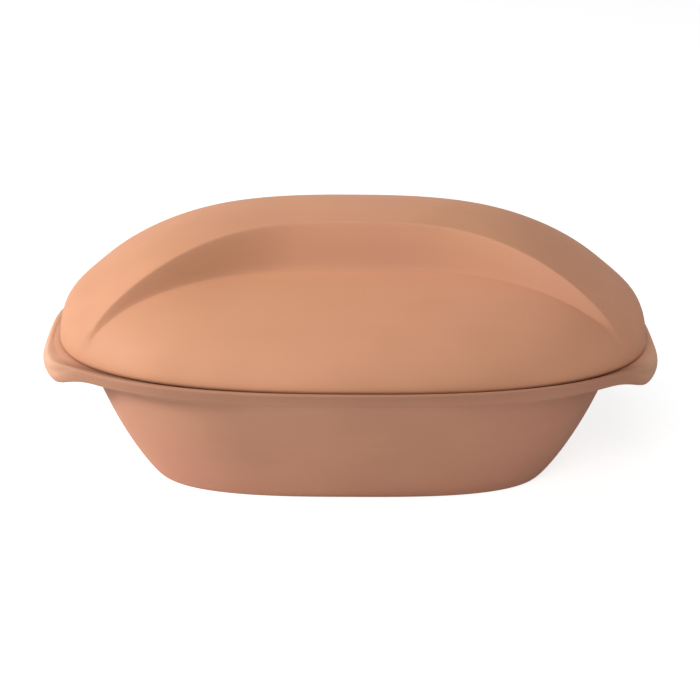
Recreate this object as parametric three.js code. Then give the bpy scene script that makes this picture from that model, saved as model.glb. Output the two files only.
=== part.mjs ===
// Oval clay baker: an unglazed earthenware roaster in two loose pieces, a flared pot with a
// drooping ear at each end and a domed lid whose raised ridge is the handle.
// Millimetres, +Z up, +X along the length, -Y to the front, origin at the middle of the foot.

import * as THREE from 'three';
import { LoftGeometry } from 'three/addons/geometries/LoftGeometry.js';

const { clamp, degToRad, lerp, smoothstep } = THREE.MathUtils;

// Pot: foot, wall and cavity
const footLength = 265;
const footWidth = 140;
const footFullness = 3;
const footEdgeRound = 3;
const wallTopLength = 351.4;
const endFlare = degToRad(20);
const sideFlare = degToRad(27);
const wallPull = 53;
const wallThickness = 9;
const floorThickness = 10;
const cavityRound = 14;

// Pot rim: a flat seat for the lid inside a low lip, which droops into an ear at each end
const seatHeight = 91;
const seatEdgeRound = 1.5;
const seatWidth = 10;
const rimDepth = 14;
const lipRise = 2.2;
const lipCrest = 1.1;
const lipReach = 2.8;
const lipShoulder = 1.4;
const lipDepth = 8.9;
const lipStep = 1.2;
const earDrop = 0.4;
const earCrest = 4;
const earReach = 8;
const earDepth = 17.2;
const earEdge = 3.6;
const earRoll = 6;
const earFullness = 3.2;
const earHalfWidth = 64;
const earBlend = 34;
const flangeThickness = 6.5;
const flangeFillet = 6;

// Lid: outline, edge and dome
const lidLength = 396.8;
const lidWidth = 236;
const outlineFullness = 2.5;
const lidThickness = 9;
const lidEdgeHeight = 3.7;
const lidEdgeRound = 3.5;
const panelRise = 57.9;

// Lid handle: a crowned ridge along the top, waisted in the middle and spreading to its tips
const ridgeRise = 88.2;
const ridgeWidth = 62.5;
const ridgeSpread = 35.4;
const ridgeTip = 190;
const ridgeFade = 4;
const coveLean = degToRad(14);
const creaseRound = 0.8;

// How the lid lies in the pot: a loose fit, a little towards the right-hand end of its seat
const sideClearance = 0.8;
const endClearance = 2.4;
const rightEndGap = 0.7;
const seatGap = 0.3;

// Exponents that shape the dome's curves
const ridgeArch = { fullness: 2.64, steepness: 0.63, crown: 0.465 };
const panelArch = { fullness: 4.34, steepness: 0.435, crown: 0.62 };
const spreadPower = 1.8;
const coveBend = 2.2;

// Mesh layout: how finely each stretch is cut, and the part of the length that the spine takes
const columns = 72;
const wallSteps = 8;
const rimSteps = 12;
const edgeSteps = 3;
const panelSteps = 6;
const crownSteps = 4;
const panelGathering = 1.5;
const tipRoom = 5;
const spineShare = 0.7;
const tiny = 1e-6;

const angles = Array.from({ length: columns }, (_, i) => (i / columns) * 2 * Math.PI);

// A level oval ring: a superellipse that fills its corners more as fullness grows
function oval(halfLength, halfWidth, height, fullness = outlineFullness) {
  return angles.map((angle) => {
    const [c, s] = [Math.cos(angle), Math.sin(angle)];
    const reach = (Math.abs(c) ** fullness + Math.abs(s) ** fullness) ** (-1 / fullness);
    return new THREE.Vector3(halfLength * reach * c, halfWidth * reach * s, height);
  });
}

// A ring squeezed flat onto the long axis, which closes a loft without a pole
function spine(ring) {
  return ring.map((point) => new THREE.Vector3(point.x * spineShare, 0, point.z));
}

// A wall from a level floor up to a flared top, as one cubic curve carried round the oval
function wallRings(bottom, top, edgeRound) {
  const section = (from, to, flare) => new THREE.CubicBezierCurve(
    new THREE.Vector2(from, bottom.height),
    new THREE.Vector2(from + edgeRound, bottom.height),
    new THREE.Vector2(to - wallPull * Math.sin(flare), top.height - wallPull * Math.cos(flare)),
    new THREE.Vector2(to, top.height),
  );
  const endSection = section(bottom.halfLength, top.halfLength, endFlare);
  const sideSection = section(bottom.halfWidth, top.halfWidth, sideFlare);
  return Array.from({ length: wallSteps + 1 }, (_, i) => {
    const share = i / wallSteps;
    const end = endSection.getPoint(share);
    const side = sideSection.getPoint(share);
    return oval(end.x, side.x, end.y, lerp(footFullness, outlineFullness, share));
  });
}

// The space that the lid's outline lies in
const rabbet = {
  halfLength: lidLength / 2 + endClearance,
  halfWidth: lidWidth / 2 + sideClearance,
};

// The lip's lower edge on the long sides and the groove under it, out from that space
const lipLow = new THREE.Vector2(
  lipReach - (lipDepth - lipShoulder) * Math.tan(sideFlare),
  seatHeight + lipRise - lipDepth,
);
const groove = new THREE.Vector2(lipLow.x - lipStep, lipLow.y - lipStep);

// The rim from the top of the wall, out under the lip, over it and down to the lid's seat.
// The long sides have a plain lip, and round the ends its outer edge droops into an ear.
function rimRings(wallTop) {
  const seat = new THREE.Vector2(0, seatHeight);
  const sideWall = new THREE.Vector2(wallTop.halfWidth - rabbet.halfWidth, wallTop.height);
  const sideSection = new THREE.SplineCurve([
    sideWall,
    sideWall.clone().lerp(groove, 0.5),
    groove,
    lipLow,
    new THREE.Vector2(lipReach, seatHeight + lipRise - lipShoulder),
    new THREE.Vector2(lipCrest, seatHeight + lipRise),
    seat,
  ]);

  const endWall = new THREE.Vector2(wallTop.halfLength - rabbet.halfLength, wallTop.height);
  const earLow = seatHeight - earDepth;
  const flangeLow = seatHeight - flangeThickness;
  const earSection = new THREE.SplineCurve([
    endWall,
    new THREE.Vector2(endWall.x + flangeFillet, flangeLow),
    new THREE.Vector2(earReach - earEdge - flangeFillet, flangeLow),
    new THREE.Vector2(earReach - earEdge, earLow),
    new THREE.Vector2(earReach, earLow + earRoll),
    new THREE.Vector2(earCrest, seatHeight - earDrop),
    seat,
  ]);

  const crestShare = 5 / 6;
  return Array.from({ length: rimSteps }, (_, i) => {
    const share = (i + 1) / rimSteps;
    const [side, end] = [sideSection.getPoint(share), earSection.getPoint(share)];
    const size = [rabbet.halfLength + end.x, rabbet.halfWidth + side.x];
    const squareness = 1 - smoothstep(Math.abs(share - crestShare), 0, 1 - crestShare);
    const square = oval(...size, end.y, lerp(outlineFullness, earFullness, squareness));
    return oval(...size, side.y).map((point, j) => {
      const past = smoothstep(Math.abs(point.y), earHalfWidth - earBlend / 2, earHalfWidth + earBlend / 2);
      return square[j].lerp(point, past);
    });
  });
}

function makePot() {
  const foot = { halfLength: footLength / 2, halfWidth: footWidth / 2, height: 0 };
  const wallTop = {
    halfLength: wallTopLength / 2,
    halfWidth: rabbet.halfWidth + groove.x - (groove.y - seatHeight + rimDepth) * Math.tan(sideFlare),
    height: seatHeight - rimDepth,
  };
  const floor = {
    halfLength: foot.halfLength - wallThickness,
    halfWidth: foot.halfWidth - wallThickness,
    height: floorThickness,
  };
  const mouth = {
    halfLength: wallTop.halfLength + rimDepth * Math.tan(endFlare) - wallThickness / Math.cos(endFlare),
    halfWidth: rabbet.halfWidth - seatWidth,
    height: seatHeight - seatEdgeRound,
  };
  const outside = wallRings(foot, wallTop, footEdgeRound);
  const seatEdge = oval(mouth.halfLength + seatEdgeRound, mouth.halfWidth + seatEdgeRound, seatHeight);
  const inside = wallRings(floor, mouth, cavityRound).reverse();
  return new LoftGeometry([
    spine(outside[0]),
    ...outside,
    ...rimRings(wallTop),
    seatEdge,
    ...inside,
    spine(inside.at(-1)),
  ]);
}

// The larger of two values, with the corner where they meet rounded over a blend
function softMax(a, b, blend) {
  const overlap = Math.max(blend - Math.abs(a - b), 0);
  return Math.max(a, b) + (overlap * overlap) / (4 * blend);
}

// A dome over the lid's outline: a low panel with the ridge standing on it. Beside the ridge a
// cove falls away from the crease, steep at first and easing into the panel.
function makeDome({ halfLength, halfWidth, base, ridge, panel, ridgeHalfWidth }) {
  const left = (x, power) => Math.max(1 - (Math.abs(x) / halfLength) ** power, 0);
  const halfWidthAt = (x) => Math.max(halfWidth * left(x, outlineFullness) ** (1 / outlineFullness), tiny);
  const creaseAt = (x) => ridgeHalfWidth + ridgeSpread * smoothstep(Math.abs(x), 0, ridgeTip) ** spreadPower;
  const arched = (x, y, rise, arch) => {
    const across = Math.max(1 - (y / halfWidthAt(x)) ** 2, 0) ** arch.crown;
    return base + rise * left(x, arch.fullness) ** arch.steepness * across;
  };
  const heightAt = (x, y) => {
    const crease = creaseAt(x);
    const wallHeight = arched(x, crease, ridge, ridgeArch) - arched(x, crease, panel, panelArch);
    const coveWidth = Math.max(wallHeight * Math.tan(coveLean), creaseRound);
    const outside = softMax(Math.abs(y) - crease, 0, creaseRound);
    const low = arched(x, y, panel, panelArch);
    const fade = clamp((low - base) / 2, tiny, ridgeFade);
    const high = softMax(arched(x, y, ridge, ridgeArch), low, fade);
    return lerp(low, high, Math.max(1 - outside / coveWidth, 0) ** coveBend);
  };
  return { rim: oval(halfLength, halfWidth, base), creaseAt, heightAt };
}

// A point of the dome on the straight line from a rim point in to the spine
function domePoint(dome, rimPoint, share) {
  const x = rimPoint.x * lerp(1, spineShare, share);
  const y = rimPoint.y * (1 - share);
  return new THREE.Vector3(x, y, dome.heightAt(x, y));
}

// The share of that line at which it meets the crease, found by halving
function creaseShare(dome, rimPoint) {
  let [low, high] = [0, 1];
  while (high - low > tiny) {
    const middle = (low + high) / 2;
    const point = domePoint(dome, rimPoint, middle);
    if (Math.abs(point.y) > dome.creaseAt(point.x)) low = middle;
    else high = middle;
  }
  return low;
}

// Rings of the dome from its rim in to its spine, gathered along the crease and the cove.
// The stations are distances outward from the crease, the farthest first, and they draw
// together where the crease runs out to the rim.
function domeRings(dome, stations) {
  const room = 2 * stations[0];
  const lines = dome.rim.map((rimPoint) => {
    const length = Math.hypot(rimPoint.x * (1 - spineShare), rimPoint.y);
    const reach = Math.max(creaseShare(dome, rimPoint) * length, tipRoom);
    const squeeze = Math.min(reach / room, 1);
    const near = stations.map((station) => (reach - station * squeeze) / length);
    const outer = Array.from({ length: panelSteps }, (_, i) => near[0] * (i / panelSteps) ** panelGathering);
    const inner = Array.from({ length: crownSteps }, (_, i) => lerp(near.at(-1), 1, (i + 1) / crownSteps));
    return [...outer, ...near, ...inner].map((share) => domePoint(dome, rimPoint, share));
  });
  return lines[0].map((_, row) => lines.map((line) => line[row]));
}

function makeLid() {
  const outer = makeDome({
    halfLength: lidLength / 2,
    halfWidth: lidWidth / 2,
    base: lidEdgeHeight,
    ridge: ridgeRise,
    panel: panelRise,
    ridgeHalfWidth: ridgeWidth / 2,
  });
  const inner = makeDome({
    halfLength: lidLength / 2 - lidThickness,
    halfWidth: lidWidth / 2 - lidThickness,
    base: 0,
    ridge: lidEdgeHeight + ridgeRise - lidThickness,
    panel: lidEdgeHeight + panelRise - lidThickness,
    ridgeHalfWidth: ridgeWidth / 2 - lidThickness,
  });
  const cove = (ridgeRise - panelRise) * Math.tan(coveLean);
  const inside = domeRings(inner, [cove, 0.6 * cove, 0.2 * cove, -creaseRound]).reverse();
  const quarters = [1, 0.75, 0.5, 0.25].map((share) => share * cove);
  const outside = domeRings(outer, [...quarters, creaseRound / 2, 0, -creaseRound]);
  const edge = Array.from({ length: edgeSteps }, (_, i) => {
    const turn = (i / edgeSteps) * (Math.PI / 2);
    const inset = lidEdgeRound * (1 - Math.sin(turn));
    return oval(lidLength / 2 - inset, lidWidth / 2 - inset, lidEdgeHeight * (1 - Math.cos(turn)));
  });
  return new LoftGeometry([...inside, ...edge, ...outside]);
}

const firedClay = { roughness: 0.92, metalness: 0 };

const pot = new THREE.Mesh(makePot(), new THREE.MeshStandardMaterial({ color: 0xc98a66, ...firedClay }));
pot.name = 'pot';

const lid = new THREE.Mesh(makeLid(), new THREE.MeshStandardMaterial({ color: 0xd0906a, ...firedClay }));
lid.name = 'lid';
lid.position.set(endClearance - rightEndGap, 0, seatHeight + seatGap);

const baker = new THREE.Group();
baker.add(pot, lid);

export default baker;
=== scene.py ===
# %% [markdown]
# A clay baker for the oven. The real one is two loose pieces of unglazed earthenware: an oval
# pot with an ear at each end, and a hollow domed lid whose raised ridge is the handle. The CAD
# model gives both pieces as closed solids with flat facets. This lesson makes a smooth skin for
# each piece from the same curves, gives it a finish of fired clay, and lights it as in a studio.

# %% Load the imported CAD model
import math

import bmesh
import bpy
import numpy as np
from mathutils import Matrix, Vector


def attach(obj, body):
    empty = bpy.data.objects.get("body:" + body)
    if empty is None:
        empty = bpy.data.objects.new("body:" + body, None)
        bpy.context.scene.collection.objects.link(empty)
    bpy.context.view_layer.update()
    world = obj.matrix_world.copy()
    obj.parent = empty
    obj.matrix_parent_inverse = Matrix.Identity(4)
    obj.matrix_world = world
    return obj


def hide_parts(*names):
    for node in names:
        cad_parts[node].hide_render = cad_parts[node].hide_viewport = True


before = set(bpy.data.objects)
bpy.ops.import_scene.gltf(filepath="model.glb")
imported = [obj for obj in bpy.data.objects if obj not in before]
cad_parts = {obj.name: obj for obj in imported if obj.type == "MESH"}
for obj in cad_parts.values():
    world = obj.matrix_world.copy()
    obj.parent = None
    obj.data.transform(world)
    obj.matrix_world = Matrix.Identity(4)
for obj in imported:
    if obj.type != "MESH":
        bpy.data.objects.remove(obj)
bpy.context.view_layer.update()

# %% [markdown]
# The camera. The photograph looks at the long side from a little above, with a long lens, so the
# near and far edges hardly differ in size. A camera can be aimed by dragging it about, but here
# its place comes from angles that were fitted to the outline, so that they can be read and
# changed. The picture is turned by a fraction of a degree, as a camera held by hand would be.

# %% Camera
camera_height_angle = math.radians(20.5)
camera_side_angle = math.radians(-0.9)
camera_distance = 1.598
camera_roll = math.radians(0.6)
camera_target = Vector((-0.0004, 0.0, 0.0786))

camera_data = bpy.data.cameras.new("photo_camera")
camera_data.lens = 120
camera_data.sensor_width = 36
camera_data.clip_end = 50
camera = bpy.data.objects.new("photo_camera", camera_data)
bpy.context.scene.collection.objects.link(camera)
level = Vector((math.sin(camera_side_angle), -math.cos(camera_side_angle), 0))
upright = Vector((0, 0, 1))
towards_camera = level * math.cos(camera_height_angle) + upright * math.sin(camera_height_angle)
aim = (-towards_camera).to_track_quat("-Z", "Y").to_matrix() @ Matrix.Rotation(camera_roll, 3, "Z")
camera_place = camera_target + camera_distance * towards_camera
camera.matrix_world = Matrix.Translation(camera_place) @ aim.to_4x4()
bpy.context.scene.camera = camera
print("Camera looks down by", round(math.degrees(camera_height_angle), 1), "degrees")

# %% [markdown]
# The sizes. They are the real object's, in millimetres, and the same ones that the solids were
# made from. Working in the maker's units keeps the numbers easy to check against a ruler, and
# the one place that turns them into metres is the step that makes a mesh.

# %% Sizes of the pot and the lid, in millimetres
foot_length, foot_width, foot_fullness, foot_edge_round = 265, 140, 3, 3
wall_top_length, wall_pull, wall_thickness = 351.4, 53, 9
end_flare, side_flare = math.radians(20), math.radians(27)
floor_thickness, cavity_round = 10, 14
seat_height, seat_edge_round, seat_width, rim_depth = 91, 1.5, 10, 14
lip_rise, lip_crest, lip_reach, lip_shoulder, lip_depth, lip_step = 2.2, 1.1, 2.8, 1.4, 8.9, 1.2
ear_drop, ear_crest, ear_reach, ear_depth, ear_edge, ear_roll = 0.4, 4, 8, 17.2, 3.6, 6
ear_fullness, ear_half_width, ear_blend = 3.2, 64, 34
flange_thickness, flange_fillet = 6.5, 6

lid_length, lid_width, outline_fullness = 396.8, 236, 2.5
lid_thickness, lid_edge_height, lid_edge_round, panel_rise = 9, 3.7, 3.5, 57.9
ridge_rise, ridge_width, ridge_spread, ridge_tip, ridge_fade = 88.2, 62.5, 35.4, 190, 4
cove_lean, crease_round = math.radians(14), 0.8
ridge_arch = {"fullness": 2.64, "steepness": 0.63, "crown": 0.465}
panel_arch = {"fullness": 4.34, "steepness": 0.435, "crown": 0.62}
spread_power, cove_bend = 1.8, 2.2

side_clearance, end_clearance, right_end_gap, seat_gap = 0.8, 2.4, 0.7, 0.3
lid_place = np.array([end_clearance - right_end_gap, 0, seat_height + seat_gap])
print("Lid lies", round(lid_place[0], 1), "mm right of the middle and", lid_place[2], "mm up")

# %% [markdown]
# The outline. Seen from above, pot and lid are neither ellipses nor rounded boxes, but something
# between the two, which is called a superellipse. It could be drawn as a Bezier circle and
# pulled about, but one formula gives every ring of both pieces, and a single number says how far
# the curve fills its corners.

# %% Oval rings
columns = 288
turn = np.arange(columns) * 2 * np.pi / columns
spine_share = 0.7


def oval(half_length, half_width, height, fullness=outline_fullness):
    across, along = np.sin(turn), np.cos(turn)
    reach = (np.abs(along) ** fullness + np.abs(across) ** fullness) ** (-1 / fullness)
    heights = np.full(columns, float(height))
    return np.stack([half_length * reach * along, half_width * reach * across, heights], axis=1)


def spine(ring):
    return ring * np.array([spine_share, 0, 1])


print("Each ring has", columns, "points")

# %% [markdown]
# The pot's wall. A potter would throw or press it as one sweep from the flat foot up to the
# flared top, so its section is one cubic Bezier curve, the same kind that Blender's curve objects
# use. The curve for the ends and the curve for the sides differ only in their reach, and every
# ring takes its length from one and its width from the other.


# %% Wall rings
def bezier(points, share):
    rest = 1 - share
    weights = [rest**3, 3 * rest**2 * share, 3 * rest * share**2, share**3]
    return sum(weight * np.array(point) for weight, point in zip(weights, points))


def wall_rings(bottom, top, edge_round, steps):
    def section(start, end, flare, share):
        out, up = wall_pull * math.sin(flare), wall_pull * math.cos(flare)
        low = [(start, bottom[2]), (start + edge_round, bottom[2])]
        high = [(end - out, top[2] - up), (end, top[2])]
        return bezier(low + high, share)

    rings = []
    for share in np.linspace(0, 1, steps + 1):
        end = section(bottom[0], top[0], end_flare, share)
        side = section(bottom[1], top[1], side_flare, share)
        fullness = foot_fullness + (outline_fullness - foot_fullness) * share
        rings.append(oval(end[0], side[0], end[1], fullness))
    return rings


rabbet = (lid_length / 2 + end_clearance, lid_width / 2 + side_clearance)
lip_face = lip_reach - (lip_depth - lip_shoulder) * math.tan(side_flare)
lip_low = np.array([lip_face, seat_height + lip_rise - lip_depth])
groove = lip_low - lip_step
wall_top_height = seat_height - rim_depth
wall_top_width = rabbet[1] + groove[0] - (groove[1] - wall_top_height) * math.tan(side_flare)

foot = (foot_length / 2, foot_width / 2, 0)
wall_top = (wall_top_length / 2, wall_top_width, wall_top_height)
pot_floor = (foot[0] - wall_thickness, foot[1] - wall_thickness, floor_thickness)
mouth_length = wall_top[0] + rim_depth * math.tan(end_flare) - wall_thickness / math.cos(end_flare)
mouth = (mouth_length, rabbet[1] - seat_width, seat_height - seat_edge_round)
print("The mouth is", round(2 * mouth[0]), "by", round(2 * mouth[1]), "mm")

# %% [markdown]
# The rim. On the real pot the clay is drawn out at the top into a low lip that keeps the lid from
# sliding, and at the ends the lip hangs down into an ear for the fingers. One section through
# the long side and one through the end are both drawn as smooth splines with the same number of
# points, so each ring can change from one into the other on its way round.


# %% Rim rings with the ears
def spline(points, share):
    points = np.array(points, float)
    place = (len(points) - 1) * share
    step = min(int(place), len(points) - 2)
    t = place - step
    before, start = points[max(step - 1, 0)], points[step]
    end, after = points[step + 1], points[min(step + 2, len(points) - 1)]
    leave, arrive = (end - before) / 2, (after - start) / 2
    cubic = (2 * start - 2 * end + leave + arrive) * t**3
    square = (3 * end - 3 * start - 2 * leave - arrive) * t**2
    return cubic + square + leave * t + start


side_wall = np.array([wall_top[1] - rabbet[1], wall_top[2]])
side_section = [
    side_wall,
    (side_wall + groove) / 2,
    groove,
    lip_low,
    (lip_reach, seat_height + lip_rise - lip_shoulder),
    (lip_crest, seat_height + lip_rise),
    (0, seat_height),
]
end_wall = (wall_top[0] - rabbet[0], wall_top[2])
ear_low, flange_low = seat_height - ear_depth, seat_height - flange_thickness
ear_section = [
    end_wall,
    (end_wall[0] + flange_fillet, flange_low),
    (ear_reach - ear_edge - flange_fillet, flange_low),
    (ear_reach - ear_edge, ear_low),
    (ear_reach, ear_low + ear_roll),
    (ear_crest, seat_height - ear_drop),
    (0, seat_height),
]

crest_share, crest_spread = 5 / 6, 1 / 6
ear_start, ear_end = ear_half_width - ear_blend / 2, ear_half_width + ear_blend / 2


def smooth_step(value, low, high):
    share = np.clip((value - low) / (high - low), 0, 1)
    return share * share * (3 - 2 * share)


def rim_ring(share):
    side, ear = spline(side_section, share), spline(ear_section, share)
    size = (rabbet[0] + ear[0], rabbet[1] + side[0])
    squareness = 1 - smooth_step(abs(share - crest_share), 0, crest_spread)
    square = oval(*size, ear[1], outline_fullness + (ear_fullness - outline_fullness) * squareness)
    plain_ring = oval(*size, side[1])
    past = smooth_step(np.abs(plain_ring[:, 1:2]), ear_start, ear_end)
    return square * (1 - past) + plain_ring * past


print("The rim reaches", lip_reach, "mm past the seat at the sides and", ear_reach, "mm at the ears")

# %% [markdown]
# From rings to a mesh. A stack of rings with the same number of points is skinned with one quad
# between each pair of neighbours. The first and last rings are squeezed flat onto the long axis,
# where their front and back halves meet and are merged, so the skin closes with no pole of thin
# triangles. Each point also carries two shares for the finish: one of pale wear, which on the pot's
# ears also stands in for light as painted light, and one of painted shade.

# %% Skin a stack of rings
mm_per_metre = 1000
merge_distance = 1e-7


def skin(name, rings, wear_and_painted_light, painted_shade_mask):
    points = np.concatenate(rings) / mm_per_metre
    faces = []
    for row in range(len(rings) - 1):
        here, above = row * columns, (row + 1) * columns
        for column in range(columns):
            beside = (column + 1) % columns
            faces.append((here + column, here + beside, above + beside, above + column))
    mesh = bpy.data.meshes.new(name)
    mesh.from_pydata(points.tolist(), [], faces)
    for label, values in (("wear_and_painted_light", wear_and_painted_light), ("painted_shade_mask", painted_shade_mask)):
        attribute = mesh.attributes.new(label, "FLOAT", "POINT")
        attribute.data.foreach_set("value", np.concatenate(values).astype(np.float32))
    editing = bmesh.new()
    editing.from_mesh(mesh)
    bmesh.ops.remove_doubles(editing, verts=editing.verts, dist=merge_distance)
    bmesh.ops.recalc_face_normals(editing, faces=editing.faces)
    editing.to_mesh(mesh)
    editing.free()
    mesh.shade_smooth()
    piece = bpy.data.objects.new(name, mesh)
    bpy.context.scene.collection.objects.link(piece)
    print(name, "has", len(mesh.polygons), "faces")
    return piece


def bell(distance, width):
    return np.exp(-((np.asarray(distance) / width) ** 2))


print("Two neighbouring rings are joined by", columns, "quads")

# %% [markdown]
# The pot. Its rings run from the middle of the foot out and up the wall, round the lip, across the
# seat and down the inside to the middle of the floor. The ears get handled and their tops are
# rubbed pale, and the same pale paints light into the shaded gutter next to the lid. Along the
# sides the lip gets painted shade for the lid's shadow, growing up the lip into the corner under
# the lid. The finished skin rides on the pot's body and is shown instead of the faceted solid.

# %% Pot
wall_steps, rim_steps = 32, 60
rub_start, rub_full, painted_shade_start = 0.5, 0.7, 0.45

rim_shares = np.linspace(0, 1, rim_steps + 1)[1:]
outside = wall_rings(foot, wall_top, foot_edge_round, wall_steps)
rim = [rim_ring(share) for share in rim_shares]
seat_edge = oval(mouth[0] + seat_edge_round, mouth[1] + seat_edge_round, seat_height)
inside = wall_rings(pot_floor, mouth, cavity_round, wall_steps)[::-1]
foot_disc = [spine(outside[0]), (spine(outside[0]) + outside[0]) / 2]
floor_disc = [(spine(inside[-1]) + inside[-1]) / 2, spine(inside[-1])]
pot_rings = foot_disc + outside + rim + [seat_edge] + inside + floor_disc

plain = np.zeros(columns)
along_side = smooth_step(np.abs(oval(*rabbet, 0)[:, 1]), ear_start, ear_end)
# Pale on the ears: real wear, and painted light in the shaded gutter next to the lid.
ear_wear_and_painted_light = smooth_step(rim_shares, rub_start, rub_full)
# Painted shade on the lip along the sides, growing towards the seat under the lid's edge.
painted_shade_ramp = np.clip((rim_shares - painted_shade_start) / (1 - painted_shade_start), 0, 1)
lip_wear_and_painted_light = [amount * (1 - along_side) for amount in ear_wear_and_painted_light]
lip_painted_shade = [amount * along_side for amount in painted_shade_ramp]
before, after = len(foot_disc + outside), len([seat_edge] + inside + floor_disc)
pot_wear_and_painted_light = [plain] * before + lip_wear_and_painted_light + [plain] * after
pot_painted_shade = [plain] * before + lip_painted_shade + [plain] * after

pot = skin("pot_skin", pot_rings, pot_wear_and_painted_light, pot_painted_shade)
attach(pot, "pot")
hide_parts("pot")

# %% [markdown]
# The lid's dome. Every point of it has one height above the seat, so it can be worked out as a
# height field: a low panel, and a tall crown for the ridge that stands on it. The crown ends at
# a curved crease. From there a hollow cove falls to the panel, steep at first and then easing
# out, like the scoop that a potter's tool leaves. Sculpting could give the same look, but not
# the same sizes inside and out.

# %% Height of the dome
tiny = 1e-6


def soft_max(a, b, blend):
    overlap = np.maximum(blend - np.abs(a - b), 0)
    return np.maximum(a, b) + overlap**2 / (4 * blend)


class Dome:
    def __init__(self, inset, base):
        self.half_length, self.half_width = lid_length / 2 - inset, lid_width / 2 - inset
        self.base = base
        sunk = lid_edge_height - inset if inset else 0
        self.ridge, self.panel = ridge_rise + sunk, panel_rise + sunk
        self.ridge_half_width = ridge_width / 2 - inset
        self.rim = oval(self.half_length, self.half_width, base)

    def left(self, x, power):
        return np.maximum(1 - (np.abs(x) / self.half_length) ** power, 0)

    def arched(self, x, y, rise, arch):
        half = self.half_width * self.left(x, outline_fullness) ** (1 / outline_fullness)
        across = np.maximum(1 - (y / np.maximum(half, tiny)) ** 2, 0) ** arch["crown"]
        return self.base + rise * self.left(x, arch["fullness"]) ** arch["steepness"] * across

    def crease(self, x):
        spread = smooth_step(np.abs(x), 0, ridge_tip) ** spread_power
        return self.ridge_half_width + ridge_spread * spread

    def wall_height(self, x):
        edge = self.crease(x)
        top = self.arched(x, edge, self.ridge, ridge_arch)
        bottom = self.arched(x, edge, self.panel, panel_arch)
        return np.maximum(top - bottom, 0)

    def height(self, x, y):
        cove_width = np.maximum(self.wall_height(x) * math.tan(cove_lean), crease_round)
        outside = soft_max(np.abs(y) - self.crease(x), 0, crease_round)
        low = self.arched(x, y, self.panel, panel_arch)
        fade = np.clip((low - self.base) / 2, tiny, ridge_fade)
        high = soft_max(self.arched(x, y, self.ridge, ridge_arch), low, fade)
        return low + (high - low) * np.maximum(1 - outside / cove_width, 0) ** cove_bend


outer_dome, inner_dome = Dome(0, lid_edge_height), Dome(lid_thickness, 0)
print("The ridge stands", round(float(outer_dome.wall_height(0))), "mm over the panel at its waist")

# %% [markdown]
# Rings of the dome. A square grid over the lid would cut the crease into steps, so each ring point
# runs in on a straight line from the rim to the spine, and the rings crowd together where that
# line crosses the crease and the cove. The crossing is found by halving, which is simple and
# never misses. The crease is marked as worn, and the foot of the cove gets painted shade.

# %% Rings that follow the crease
tip_room, cove_room, rim_crowding, halvings = 5, 1.1, 1.5, 24
full_wall = 12
crease_wear, crease_wear_width = 0.12, 1.8
# A band of painted shade along the foot of the cove, where the cove's shade falls.
cove_painted_shade, cove_painted_shade_width, cove_foot = 0.15, 4, 0.6


def on_line(dome, share):
    x = dome.rim[:, 0] * (1 + (spine_share - 1) * share)
    return x, dome.rim[:, 1] * (1 - share)


def crease_shares(dome):
    low, high = np.zeros(columns), np.ones(columns)
    for _ in range(halvings):
        middle = (low + high) / 2
        x, y = on_line(dome, middle)
        outside_ridge = np.abs(y) > dome.crease(x)
        low, high = np.where(outside_ridge, middle, low), np.where(outside_ridge, high, middle)
    return low


def dome_rings(dome, panel_steps, near_steps, crown_steps):
    far = cove_room * (ridge_rise - panel_rise) * math.tan(cove_lean)
    near = -crease_round
    length = np.hypot(dome.rim[:, 0] * (1 - spine_share), dome.rim[:, 1])
    edge = np.maximum(crease_shares(dome) * length, tip_room)
    squeeze = np.minimum(edge / (2 * far), 1)
    first, last = (edge - far * squeeze) / length, (edge - near * squeeze) / length
    panel_part = np.linspace(0, 1, panel_steps, endpoint=False)
    near_part = np.linspace(0, 1, near_steps, endpoint=False)
    shares = [first * step**rim_crowding for step in panel_part]
    shares += [first + (last - first) * step for step in near_part]
    shares += [last + (1 - last) * step for step in np.linspace(0, 1, crown_steps)]
    rings, wear_and_painted_light, painted_shade_mask = [], [], []
    for share in shares:
        x, y = on_line(dome, share)
        wall = dome.wall_height(x)
        past_crease = np.abs(y) - dome.crease(x)
        past_foot = past_crease - cove_foot * wall * math.tan(cove_lean)
        strength = np.clip(wall / full_wall, 0, 1)
        rings.append(np.stack([x, y, dome.height(x, y)], axis=1))
        wear_and_painted_light.append(crease_wear * bell(past_crease, crease_wear_width) * strength)
        painted_shade_mask.append(cove_painted_shade * bell(past_foot, cove_painted_shade_width) * strength)
    return rings, wear_and_painted_light, painted_shade_mask


outer_steps = {"panel_steps": 44, "near_steps": 30, "crown_steps": 24}
inner_steps = {"panel_steps": 20, "near_steps": 16, "crown_steps": 14}
outer_rings, outer_worn, outer_painted_shade = dome_rings(outer_dome, **outer_steps)
inner_rings, _, inner_painted_shade = dome_rings(inner_dome, **inner_steps)
print("The lid's dome has", len(outer_rings), "rings outside and", len(inner_rings), "inside")

# %% [markdown]
# The lid. Its rings run from the spine of the hollow out to the rim, round the edge, and over the
# dome to the spine of the ridge. The edge is a quarter of an ellipse, because a sharp edge of
# clay would chip, and it is rubbed pale where it knocks against the pot.

# %% Lid
edge_steps, edge_wear, edge_wear_width = 10, 0.2, 0.6
edge_turns = np.linspace(0, np.pi / 2, edge_steps, endpoint=False)
edge_rings, edge_worn = [], []
for angle in edge_turns:
    inset = lid_edge_round * (1 - math.sin(angle))
    height = lid_edge_height * (1 - math.cos(angle))
    edge_rings.append(oval(lid_length / 2 - inset, lid_width / 2 - inset, height))
    edge_worn.append(plain + edge_wear * bell(angle - np.pi / 4, edge_wear_width))

lid_rings = inner_rings[::-1] + edge_rings + outer_rings
lid_worn = [plain] * len(inner_rings) + edge_worn + outer_worn
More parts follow.
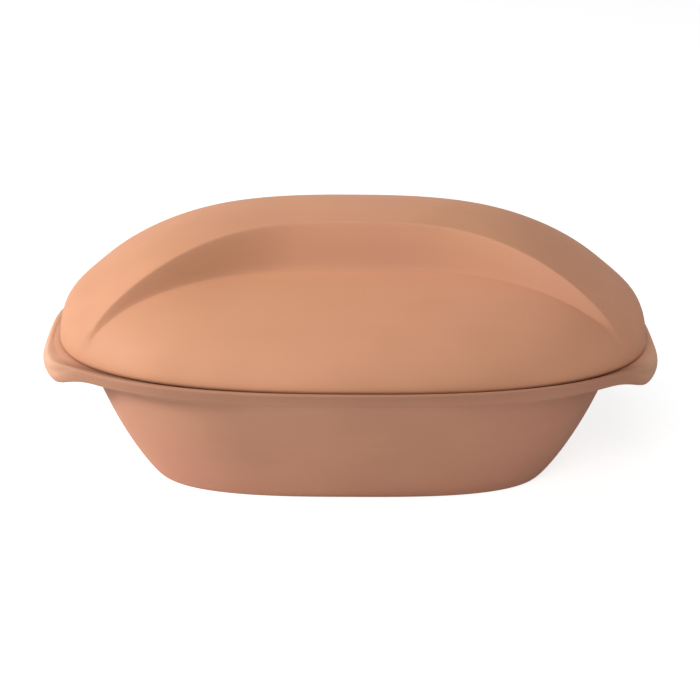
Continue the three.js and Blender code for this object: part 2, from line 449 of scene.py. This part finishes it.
# The lid's painted shade: the band at the foot of the cove, inside and out.
lid_painted_shade = inner_painted_shade[::-1] + [plain] * len(edge_rings) + outer_painted_shade
lid = skin("lid_skin", [ring + lid_place for ring in lid_rings], lid_worn, lid_painted_shade)
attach(lid, "lid")
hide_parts("lid")

# %% [markdown]
# Writing shaders as sums. A node tree for fired clay needs a good deal of arithmetic, and wiring
# Math nodes one by one hides it. The class below wraps the output of a node, so that ordinary
# sums on it add the Math nodes, and one method makes any other kind of node. A Mix node has
# hidden sockets for each kind of value, so those that it shows for colours go by number.

# %% A wire that can be used in sums
share_socket, below_socket, above_socket, colour_socket = 0, 6, 7, 2


class Wire:
    def __init__(self, tree, socket=None):
        self.tree = tree
        self.socket = socket

    def node(self, kind, settings, inputs, output=0):
        made = self.tree.nodes.new("ShaderNode" + kind)
        for name, value in settings.items():
            setattr(made, name, value)
        for name, value in inputs.items():
            if isinstance(value, Wire):
                self.tree.links.new(value.socket, made.inputs[name])
            else:
                made.inputs[name].default_value = value
        return Wire(self.tree, made.outputs[output] if made.outputs else None)

    def maths(self, operation, first, second):
        return self.node("Math", {"operation": operation}, {0: first, 1: second})

    def __add__(self, other):
        return self.maths("ADD", self, other)

    def __mul__(self, other):
        return self.maths("MULTIPLY", self, other)

    __radd__ = __add__
    __rmul__ = __mul__

    def limited(self, low, high):
        inputs = {"Value": self, "From Min": low, "From Max": high}
        return self.node("MapRange", {"interpolation_type": "SMOOTHSTEP"}, inputs)

    def mixed(self, share, below, above, blend="MIX"):
        settings = {"data_type": "RGBA", "blend_type": blend}
        inputs = {share_socket: share, below_socket: below, above_socket: above}
        return self.node("Mix", settings, inputs, colour_socket)


def linear(red, green, blue):
    steps = np.array([red, green, blue]) / 255
    return (*np.where(steps > 0.04045, ((steps + 0.055) / 1.055) ** 2.4, steps / 12.92), 1)


print("A wire can be added, multiplied, limited and mixed")

# %% [markdown]
# Fired clay. Unglazed earthenware is matt and fine-grained. It is never one colour: iron in the
# clay and the heat of the kiln leave soft patches, some pinker and some browner, the sponge that
# smoothed the wet clay leaves faint streaks along the piece, and edges that get handled go pale
# and dusty. All of this could be painted on an image, but noise in the piece's own coordinates
# needs no unwrapping and stays put when the lid is lifted.


# %% Clay finish
def fired_clay(name, main, pink, brown, pale, dark):
    material = bpy.data.materials.new(name)
    material.use_nodes = True
    tree = material.node_tree
    tree.nodes.clear()
    clay = Wire(tree)
    place = clay.node("TexCoord", {}, {}, "Object")

    def grain(scale, detail, stretch=(1, 1, 1), shift=(0, 0, 0)):
        mapped = clay.node("Mapping", {}, {"Vector": place, "Scale": stretch, "Location": shift})
        return clay.node("TexNoise", {}, {"Vector": mapped, "Scale": scale, "Detail": detail})

    def mark(attribute):
        return clay.node("Attribute", {"attribute_name": attribute}, {}, "Fac")

    patches = grain(scale=9, detail=2).limited(0.38, 0.68)
    rosy = grain(scale=7, detail=2, shift=(3, 1, 2)).limited(0.4, 0.7)
    streaks = grain(scale=6, detail=3, stretch=(1, 9, 14))
    speckle = grain(scale=900, detail=2)
    dust = grain(scale=60, detail=3)
    dents = grain(scale=28, detail=2)
    pores = grain(scale=420, detail=3)

    # Pale: real wear on the lid's edge, crease and ears, and painted light in the ears' shaded
    # gutter.
    rubbed = mark("wear_and_painted_light") * (0.3 + 0.6 * dust)
    # Painted shade: the dark colour darkens the lip under the lid and the foot of the cove.
    painted_shade_amount = mark("painted_shade_mask") * 0.85
    body = clay.mixed(patches * 0.5, main, brown)
    body = clay.mixed(rosy * 0.5, body, pink)
    body = clay.mixed(rubbed, body, pale)
    body = clay.mixed(painted_shade_amount, body, dark)
    shade = 0.94 + 0.06 * streaks + 0.06 * speckle
    grey = clay.node("CombineColor", {}, {"Red": shade, "Green": shade, "Blue": shade})
    colour = clay.mixed(1.0, body, grey, "MULTIPLY")

    roughness = 0.6 + 0.12 * dust + 0.06 * speckle
    relief = 0.6 * dents + 0.25 * streaks + 0.12 * pores
    bumped = clay.node("Bump", {}, {"Strength": 0.35, "Distance": 0.0012, "Height": relief})
    constants = {"Specular IOR Level": 0.5, "Diffuse Roughness": 0.4}
    varying = {"Base Color": colour, "Roughness": roughness, "Normal": bumped}
    surface = clay.node("BsdfPrincipled", {}, {**constants, **varying})
    clay.node("OutputMaterial", {}, {"Surface": surface})
    print(name, "has", len(tree.nodes), "nodes")
    return material


# In each finish the dark colour is painted shade; the pale one is wear, and on the pot's ears
# painted light too.
lid_finish = fired_clay(
    "lid_clay_finish",
    main=linear(214, 154, 117),
    pink=linear(211, 150, 122),
    brown=linear(196, 138, 103),
    pale=linear(236, 186, 152),
    dark=linear(158, 108, 78),
)
pot_finish = fired_clay(
    "pot_clay_finish",
    main=linear(205, 148, 118),
    pink=linear(205, 142, 119),
    brown=linear(186, 134, 104),
    pale=linear(232, 182, 149),
    dark=linear(148, 100, 74),
)
lid.data.materials.append(lid_finish)
pot.data.materials.append(pot_finish)

# %% [markdown]
# Floor and background. The photograph stands on white with only a soft shadow under the foot. A
# white floor alone would come out grey where the light falls off, so for rays that come
# straight from the camera most of the floor's white is its own glow, and the rest is lit and
# takes the shadow. All other rays meet a plain pale floor, which lights the pot from below as a
# real one would.

# %% Floor and world
floor_reach, floor_gap = 12, 0.0002
paper_share, lit_share, glow_strength, room_light = 0.8, 0.6, 0.77, 0.22
white = (1, 1, 1, 1)


def grey_of(share):
    return (share, share, share, 1)


floor_mesh = bpy.data.meshes.new("studio_floor")
corners = [(x * floor_reach, y * floor_reach, 0) for x, y in ((-1, -1), (1, -1), (1, 1), (-1, 1))]
floor_mesh.from_pydata(corners, [], [(0, 1, 2, 3)])
floor = bpy.data.objects.new("studio_floor", floor_mesh)
floor.location.z = -floor_gap
bpy.context.scene.collection.objects.link(floor)

floor_paper = bpy.data.materials.new("floor_paper")
floor_paper.use_nodes = True
floor_paper.node_tree.nodes.clear()
paper = Wire(floor_paper.node_tree)
seen = paper.node("LightPath", {}, {}, "Is Camera Ray")
pale_paper = paper.node("BsdfDiffuse", {}, {"Color": grey_of(paper_share)})
lit_paper = paper.node("BsdfDiffuse", {}, {"Color": grey_of(lit_share)})
glow = paper.node("Emission", {}, {"Color": white, "Strength": glow_strength})
shown = paper.node("AddShader", {}, {0: lit_paper, 1: glow})
mixed = paper.node("MixShader", {}, {0: seen, 1: pale_paper, 2: shown})
paper.node("OutputMaterial", {}, {"Surface": mixed})
floor_mesh.materials.append(floor_paper)

world = bpy.data.worlds.new("studio")
world.use_nodes = True
world.node_tree.nodes.clear()
bpy.context.scene.world = world
sky = Wire(world.node_tree)
direct_rays = ("Is Camera Ray", "Is Glossy Ray", "Is Transmission Ray")
shown_white = sum(sky.node("LightPath", {}, {}, ray) for ray in direct_rays).limited(0, 1)
strength = room_light + (1 - room_light) * shown_white
background = sky.node("Background", {}, {"Color": white, "Strength": strength})
sky.node("OutputWorld", {}, {"Surface": background})
print("The floor is", 2 * floor_reach, "m wide and the room's light is", room_light)

# %% [markdown]
# Studio light. The ridge is bright on its left shoulder and dark on its right one, and the cove
# in front of it is the other way round, so the main light stands far to the left, a little in
# front and low. It is a rather small panel, which leaves the left half of the cove dark. A large
# panel over the camera fills the front, and the white room adds a little from all round.

# %% Lamps
lamp_target = Vector((0, 0, 0.08))


def soft_panel(name, turned, raised, distance, size, power):
    data = bpy.data.lights.new(name, "AREA")
    data.shape = "DISK"
    data.size = size
    data.energy = power
    lamp = bpy.data.objects.new(name, data)
    across, up = math.radians(turned), math.radians(raised)
    away = Vector((math.sin(across) * math.cos(up), -math.cos(across) * math.cos(up), math.sin(up)))
    lamp.location = lamp_target + distance * away
    lamp.rotation_mode = "QUATERNION"
    lamp.rotation_quaternion = away.to_track_quat("Z", "Y")
    bpy.context.scene.collection.objects.link(lamp)
    print(name, "stands", turned, "degrees round and", raised, "degrees up")


soft_panel("key_panel", turned=-80, raised=22, distance=2.0, size=0.4, power=32.5)
soft_panel("front_panel", turned=0, raised=40, distance=2.0, size=1.1, power=15)

# %% [markdown]
# Colours. The Standard view transform shows a colour as it is written.

# %% Finish
bpy.context.scene.view_settings.view_transform = "Standard"
